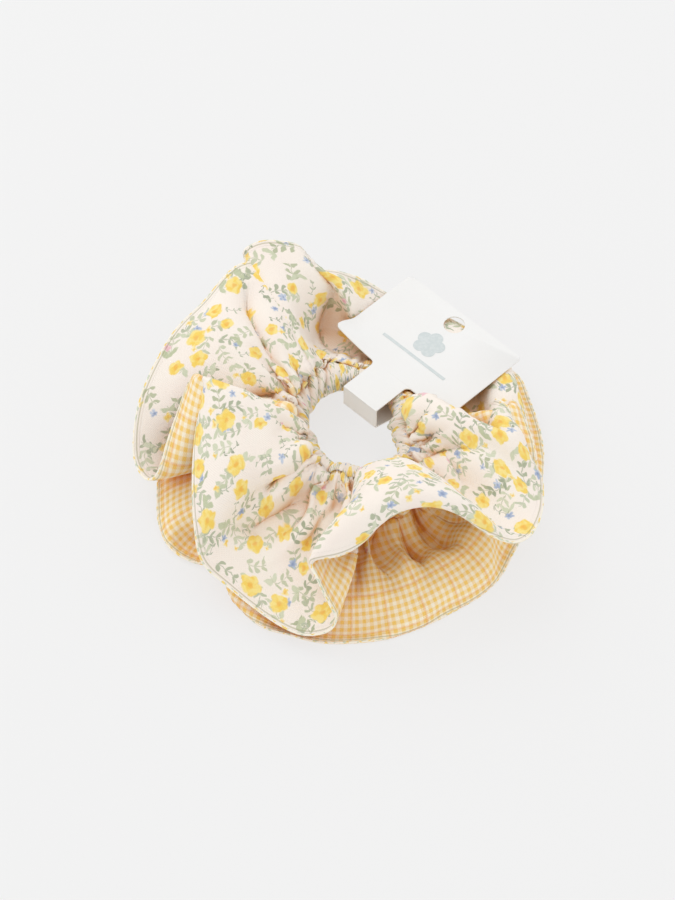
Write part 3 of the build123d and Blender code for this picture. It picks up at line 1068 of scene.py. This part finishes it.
def sheetBetween(name, grid, low, high, material):
    # a closed cloth from low to high above the grid, laid out flat in its own millimetres
    along, across = grid.shape[:2]
    strip = cloth["strip"]
    normal = normalsOf(grid)
    points = np.concatenate([(grid + normal * high).reshape(-1, 3), (grid + normal * low).reshape(-1, 3)])
    i = np.repeat(np.arange(along), across - 1)
    j = np.tile(np.arange(across - 1), along)
    follow = (i + 1) % along
    corner = [i * across + j, i * across + j + 1, follow * across + j + 1, follow * across + j]
    top = np.stack([corner[0], corner[3], corner[2], corner[1]], axis=1)
    under = np.stack(corner, axis=1) + along * across
    mm, out = strip / along, cloth["wing"] / (across - 1)
    run, wide = np.stack([i, i + 1, i + 1, i], axis=1), np.stack([j, j, j + 1, j + 1], axis=1)
    topPlace = np.stack([run * mm, wide * out], axis=2)
    run, wide = np.stack([i, i, i + 1, i + 1], axis=1), np.stack([j, j + 1, j + 1, j], axis=1)
    underPlace = np.stack([run * mm, wide * out], axis=2)
    faces, places = [top, under], [topPlace, underPlace]
    k = np.arange(along)
    nextOne = (k + 1) % along
    for edge in (0, across - 1):
        a, b = k * across + edge, nextOne * across + edge
        c, d = b + along * across, a + along * across
        rim = np.stack([a, d, c, b] if edge == 0 else [a, b, c, d], axis=1)
        run = np.stack([k, k, k + 1, k + 1] if edge == 0 else [k, k + 1, k + 1, k], axis=1) * mm
        faces.append(rim)
        places.append(np.stack([run, np.full_like(run, edge * out)], axis=2))
    return makePiece(name, points, np.concatenate(faces), material, np.concatenate(places).reshape(-1, 2))


def tubeAlong(path, across, up, wide, tall, sides, length, closed=True, square=1.0):
    # points, faces and places of a tube; square below 1 flattens its four sides
    count = len(path)
    around = np.arange(sides) * 2 * np.pi / sides
    cos = np.sign(np.cos(around)) * np.abs(np.cos(around)) ** square
    sin = np.sign(np.sin(around)) * np.abs(np.sin(around)) ** square
    wide = np.broadcast_to(np.asarray(wide, float), (count,))[:, None, None]
    tall = np.broadcast_to(np.asarray(tall, float), (count,))[:, None, None]
    ring = across[:, None] * cos[None, :, None] * wide + up[:, None] * sin[None, :, None] * tall
    points = (path[:, None] + ring).reshape(-1, 3)
    spans = count if closed else count - 1
    i = np.repeat(np.arange(spans), sides)
    j = np.tile(np.arange(sides), spans)
    a, b = i * sides + j, i * sides + (j + 1) % sides
    c, d = ((i + 1) % count) * sides + (j + 1) % sides, ((i + 1) % count) * sides + j
    faces = np.stack([a, b, c, d], axis=1).tolist()
    u = np.stack([i, i, i + 1, i + 1], axis=1) * length / spans
    girth = math.pi * (float(wide.mean()) + float(tall.mean()))
    v = np.stack([j, j + 1, j + 1, j], axis=1) * (girth / sides)
    places = np.stack([u, v], axis=2).reshape(-1, 2).tolist()
    if not closed:
        ends = [list(range(sides))[::-1], [(count - 1) * sides + k for k in range(sides)]]
        faces += ends
        places += [(0.0, 0.0)] * (2 * sides)
    return points, faces, places


def joined(name, parts, material):
    points, faces, places = [], [], []
    for some, those, where in parts:
        faces += [[corner + len(points) for corner in face] for face in those]
        points += some.tolist()
        places += where
    return makePiece(name, points, faces, material, places)


print("draping the upper wing")
upperGrid, upperAngle, upperLength = drape(upperFolds, "upper")
print("draping the lower wing")
lowerGrid, lowerAngle, lowerLength = drape(lowerFolds, "lower")
print("hems", round(upperLength), "and", round(lowerLength), "mm")
upperGrid = addCreases(upperGrid, upperAngle, upperLength, upperCreases + scatteredPinches())
lowerGrid = addCreases(lowerGrid, lowerAngle, lowerLength, lowerCreases + scatteredPinches())
pleatMore = {"upper": 1.0, "lower": 1.2}
for name in ("broad", "fine"):
    upperGrid = addPleats(upperGrid, upperAngle, pleats[name], pleatMore["upper"])
    lowerGrid = addPleats(lowerGrid, lowerAngle, pleats[name], pleatMore["lower"])
keepUnderCard(upperGrid)
nearRoot = 4  # columns that stay as they leave the stitches
keepClear(upperGrid[:, nearRoot:], "upper")
keepClear(lowerGrid[:, nearRoot:], "lower")

inner, outer = cloth["gap"] / 2, cloth["gap"] / 2 + cloth["layer"]
sheets = {
    "printed_upper_wing": (upperGrid, inner, outer, "printed"),
    "checked_upper_wing": (upperGrid, -outer, -inner, "checked"),
    "checked_lower_wing": (lowerGrid, inner, outer, "checked"),
    "printed_lower_wing": (lowerGrid, -outer, -inner, "printed"),
}
pieces = {}
for name, (grid, low, high, finish) in sheets.items():
    pieces[name] = sheetBetween(name, grid, low, high, material[finish])

hem = {"radius": 0.48, "back": 0.15, "sides": 10}


def hemRoll(name, grid):
    normal = normalsOf(grid)[:, -1]
    outward = grid[:, -1] - grid[:, -2]
    outward = unit(outward - normal * (outward * normal).sum(1, keepdims=True))
    path = grid[:, -1] - outward * hem["back"]
    roll = tubeAlong(path, outward, normal, hem["radius"], hem["radius"], hem["sides"], cloth["strip"])
    return joined(name, [roll], material["hem"])


pieces["upper_hem"] = hemRoll("upper_hem", upperGrid)
pieces["lower_hem"] = hemRoll("lower_hem", lowerGrid)

casing = {
    "rows": 900, "sides": 40,
    "around": 30.0,  # width of cloth that goes round the elastic
    "pleat": 0.75, "liningPleat": 0.2,
    "liningShare": 0.72,  # radius of the lining as a share of the outer cloth's
    "slant": 0.16,  # the gathers lean over the tube by this many radians
    "heldLess": 0.35, "heldMost": 0.2, "heldRise": 3.0,  # pleats pressed down by the card's neck
    "flatShare": 0.1,
}


def ringFrame(angle):
    # the ring's middle line with the directions out from it and along it
    centre = ringRadius(angle)
    out = np.stack([np.cos(angle), np.sin(angle), np.zeros_like(angle)], axis=1)
    path = out * centre[:, None]
    path[:, 2] = band["height"]
    return path, out


def atCard(angle):
    # 1 where the card's neck holds the band, 0 away from it
    away = np.abs((angle - math.radians(band["cardAngle"]) + np.pi) % (2 * np.pi) - np.pi)
    held, free = band["cardHolds"]
    return 1 - fade(away, math.radians(held), math.radians(free))


def casingTube(name, share, pleat, material):
    count, sides = casing["rows"], casing["sides"]
    angle = -np.arange(count) * 2 * np.pi / count
    path, outward = ringFrame(angle)
    held = atCard(angle)
    tube = (band["tube"] + (band["tubeAtCard"] - band["tube"]) * held) * share
    around = np.arange(sides) * 2 * np.pi / sides
    slanted = angle[:, None] + casing["slant"] * np.sin(around)[None, :]
    free = 1 - held[:, None]
    ridge = pleatAt(pleats["fine"], slanted)[0] * pleat * (1 - casing["heldLess"] * held[:, None])
    ridge = ridge + pleatAt(pleats["broad"], slanted)[0] * pleat * free
    most = casing["heldMost"] + casing["heldRise"] * free
    ridge = np.where(held[:, None] > 0, np.minimum(ridge, most), ridge)
    radius = tube[:, None] + ridge
    back = band["stitchOut"] * min(1.0, share + casing["flatShare"])  # flat where the stitches pull it in
    out = np.minimum(np.cos(around)[None, :] * radius, back)
    up = np.sin(around)[None, :] * radius
    points = path[:, None] + outward[:, None] * out[..., None]
    points[..., 2] += up
    i, j = np.repeat(np.arange(count), sides), np.tile(np.arange(sides), count)
    a, b = i * sides + j, i * sides + (j + 1) % sides
    c, d = ((i + 1) % count) * sides + (j + 1) % sides, ((i + 1) % count) * sides + j
    u = np.stack([i, i, i + 1, i + 1], axis=1) * cloth["strip"] / count
    v = np.stack([j, j + 1, j + 1, j], axis=1) * casing["around"] / sides
    return makePiece(name, points.reshape(-1, 3), np.stack([a, b, c, d], axis=1)[:, ::-1], material,
                     np.stack([u, v], axis=2)[:, ::-1].reshape(-1, 2))


pieces["printed_casing"] = casingTube("printed_casing", 1.0, casing["pleat"], material["printed"])
pieces["checked_casing_lining"] = casingTube("checked_casing_lining", casing["liningShare"],
                                             casing["liningPleat"], material["checked"])

elastic = {
    "halfWide": 2.1, "halfThick": 0.4,
    "rows": 360, "sides": 16,
    "square": 0.5,  # below 1 gives the braid its flat faces
    "long": 150.0,
    "lapAngle": 24.0, "lapAt": 270.0, "lapRows": 24, "lapLong": 9.0,
    "zigzags": 9, "zigzagShare": 0.9, "zigzagTall": 0.75,
    "thread": 0.14, "threadSides": 8, "threadLong": 30.0, "threadSteps": 5,
}


def elasticBand():
    thick, wide, sides = elastic["halfThick"], elastic["halfWide"], elastic["sides"]
    angle = -np.arange(elastic["rows"]) * 2 * np.pi / elastic["rows"]
    path, outward = ringFrame(angle)
    up = np.zeros_like(outward)
    up[:, 2] = 1.0
    half = math.radians(elastic["lapAngle"] / 2)
    lap = math.radians(elastic["lapAt"]) + np.linspace(-half, half, elastic["lapRows"])
    over, lapOut = ringFrame(lap)
    over = over + lapOut * 2 * thick
    lapUp = up[: elastic["lapRows"]]
    parts = [
        tubeAlong(path, outward, up, thick, wide, sides, elastic["long"], True, elastic["square"]),
        tubeAlong(over, lapOut, lapUp, thick, wide, sides, elastic["lapLong"], False, elastic["square"]),
    ]
    return joined("elastic", parts, material["elastic"])


def lapZigzag():
    # one thread that runs to and fro over the lapped ends
    thread = elastic["thread"]
    corners = elastic["zigzags"] * 2 + 1
    half = math.radians(elastic["lapAngle"] / 2) * elastic["zigzagShare"]
    turn = math.radians(elastic["lapAt"]) + np.linspace(-half, half, corners)
    path, outward = ringFrame(turn)
    path = path + outward * (3 * elastic["halfThick"] + thread)
    path[:, 2] += elastic["zigzagTall"] * elastic["halfWide"] * (-1.0) ** np.arange(corners)
    places = np.linspace(0, corners - 1.001, corners * elastic["threadSteps"])
    path = smoothAlong(path, places, closed=False)
    forward = unit(np.gradient(path, axis=0))
    side = unit(np.cross(forward, smoothAlong(outward, places, closed=False)))
    normal = unit(np.cross(side, forward))
    sides, long = elastic["threadSides"], elastic["threadLong"]
    zigzag = tubeAlong(path, side, normal, thread, thread, sides, long, False)
    return joined("elastic_join_stitching", [zigzag], material["thread"])


pieces["elastic"] = elasticBand()
pieces["elastic_join_stitching"] = lapZigzag()

stitching = {
    "long": 2.4, "share": 0.8,  # from one stitch to the next, and how much of it shows
    "thread": 0.2, "sides": 6, "steps": 7,
    "outside": 0.5,  # past the casing's flat back
    "above": 0.75, "sunk": 0.05, "arch": 0.5,
    "rows": 720,
}


def casingStitches():
    # lock stitches on both faces of the four layers, each dipping into the cloth at its ends
    thread, sides, rows = stitching["thread"], stitching["sides"], stitching["rows"]
    path, outward = ringFrame(np.linspace(0, 2 * np.pi, rows, endpoint=False))
    line = path + outward * (band["stitchOut"] + stitching["outside"])
    length = np.linalg.norm(np.roll(line, -1, 0) - line, axis=1).sum()
    count = round(length / stitching["long"])
    share = np.linspace(-0.5, 0.5, stitching["steps"])
    rise = stitching["above"] * np.cos(np.pi * share) ** stitching["arch"] + stitching["sunk"]
    parts = []
    for side in (1, -1):
        for k in range(count):
            middle = k + 0.5 + 0.5 * (side < 0)
            places = ((middle + share * stitching["share"]) / count * rows) % rows
            points = smoothAlong(line, places)
            out = unit(smoothAlong(outward, places))
            points[:, 2] += side * rise
            up = np.cross(unit(np.gradient(points, axis=0)), out)
            parts.append(tubeAlong(points, out, up, thread, thread, sides, stitching["long"], False))
    return joined("casing_stitching", parts, material["thread"])


pieces["casing_stitching"] = casingStitches()

closing = {
    "angle": -180.0,
    "rows": 7, "half": 0.09,  # rows of the wing's mesh that it covers, and half its thickness
    "clear": (5, -1),  # columns, so that it ends short of the stitches and of the hem
    "step": (0.9, 1.2),  # millimetres of cloth in a row and in a column
}


def closingSeam():
    # the pressed seam allowance of the strips' short ends, between both layers of each wing
    parts = []
    first, last = closing["clear"]
    for grid, angle in ((upperGrid, upperAngle), (lowerGrid, lowerAngle)):
        middle = int(np.abs(angle - math.radians(closing["angle"])).argmin())
        rows = np.arange(middle - closing["rows"] // 2, middle + closing["rows"] // 2 + 1)
        tape, lift = grid[rows, first:last], normalsOf(grid)[rows, first:last] * closing["half"]
        across = tape.shape[1]
        corners = np.concatenate([(tape + lift).reshape(-1, 3), (tape - lift).reshape(-1, 3)])
        under = len(rows) * across
        faces, places = [], []
        for i in range(len(rows) - 1):
            for j in range(across - 1):
                a, b = i * across + j, i * across + j + 1
                c, d = b + across, a + across
                faces += [[a, d, c, b], [a + under, b + under, c + under, d + under]]
        rim = list(range(across)) + [i * across + across - 1 for i in range(1, len(rows))]
        rim += [(len(rows) - 1) * across + j for j in range(across - 2, -1, -1)]
        rim += [i * across for i in range(len(rows) - 2, 0, -1)]
        faces += [[a, b, b + under, a + under] for a, b in zip(rim, rim[1:] + rim[:1])]
        run, out = closing["step"]
        for face in faces:
            places += [((corner % under) // across * run, (corner % across) * out) for corner in face]
        parts.append((corners, faces, places))
    return joined("ring_closing_seam", parts, material["thread"])


pieces["ring_closing_seam"] = closingSeam()
print("the soft pieces are made")

# Every soft piece runs round the whole ring, so it is attached to neither side of the band; its part in
# model.glb, or that part's two halves, is hidden.
whole = ("ring_closing_seam", "elastic_join_stitching")
for name, piece in pieces.items():
    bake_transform(piece)
    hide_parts(*([name] if name in whole else [name + "_free_side", name + "_card_side"]))

for name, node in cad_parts.items():
    if name.startswith("card"):
        node.data.materials.clear()
        node.data.materials.append(material["ink" if "mark" in name else "card"])


def curledFront():
    # the front's neck and panel as the one blank they are, cut into strips where it bends
    shape = bmesh.new()
    for name in ("card_front_neck", "card_front_panel"):
        shape.from_mesh(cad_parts[name].data)
    bmesh.ops.remove_doubles(shape, verts=shape.verts, dist=tiny)
    near = card["near"] * toMetres
    left = (card["neckLeft"] - card["fillet"]) * toMetres
    right = (card["neckRight"] + card["fillet"]) * toMetres
    # the two faces where the neck meets the panel are inside the blank
    inside = [face for face in shape.faces
              if all(abs(v.co.y - near) < tiny and left < v.co.x < right for v in face.verts)]
    bmesh.ops.delete(shape, geom=inside, context="FACES_ONLY")
    startX, endY = card["curlFrom"]
    cut, sliver = card["cut"], 0.1
    acrossX = np.arange(card["left"] + cut, startX + sliver, cut) * toMetres
    acrossY = np.arange(card["near"] + cut, endY + sliver, cut) * toMetres
    cuts = [((x, 0, 0), (1, 0, 0)) for x in acrossX] + [((0, y, 0), (0, 1, 0)) for y in acrossY]
    for place, across in cuts:
        everything = shape.verts[:] + shape.edges[:] + shape.faces[:]
        bmesh.ops.bisect_plane(shape, geom=everything, plane_co=place, plane_no=across, dist=1e-7)
    for corner in shape.verts:
        corner.co.z += float(cornerCurl(corner.co.x / toMetres, corner.co.y / toMetres)) * toMetres
    mesh = bpy.data.meshes.new("card_front_curled")
    shape.to_mesh(mesh)
    shape.free()
    mesh.polygons.foreach_set("use_smooth", [True] * len(mesh.polygons))
    mesh.set_sharp_from_angle(angle=math.radians(30))
    mesh.materials.append(material["card"])
    front = bpy.data.objects.new("card_front_curled", mesh)
    bpy.context.scene.collection.objects.link(front)
    return front


front = curledFront()
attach(front, "card_front")
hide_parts("card_front_neck", "card_front_panel")

print("riding", len(pieces), "soft pieces on the band")
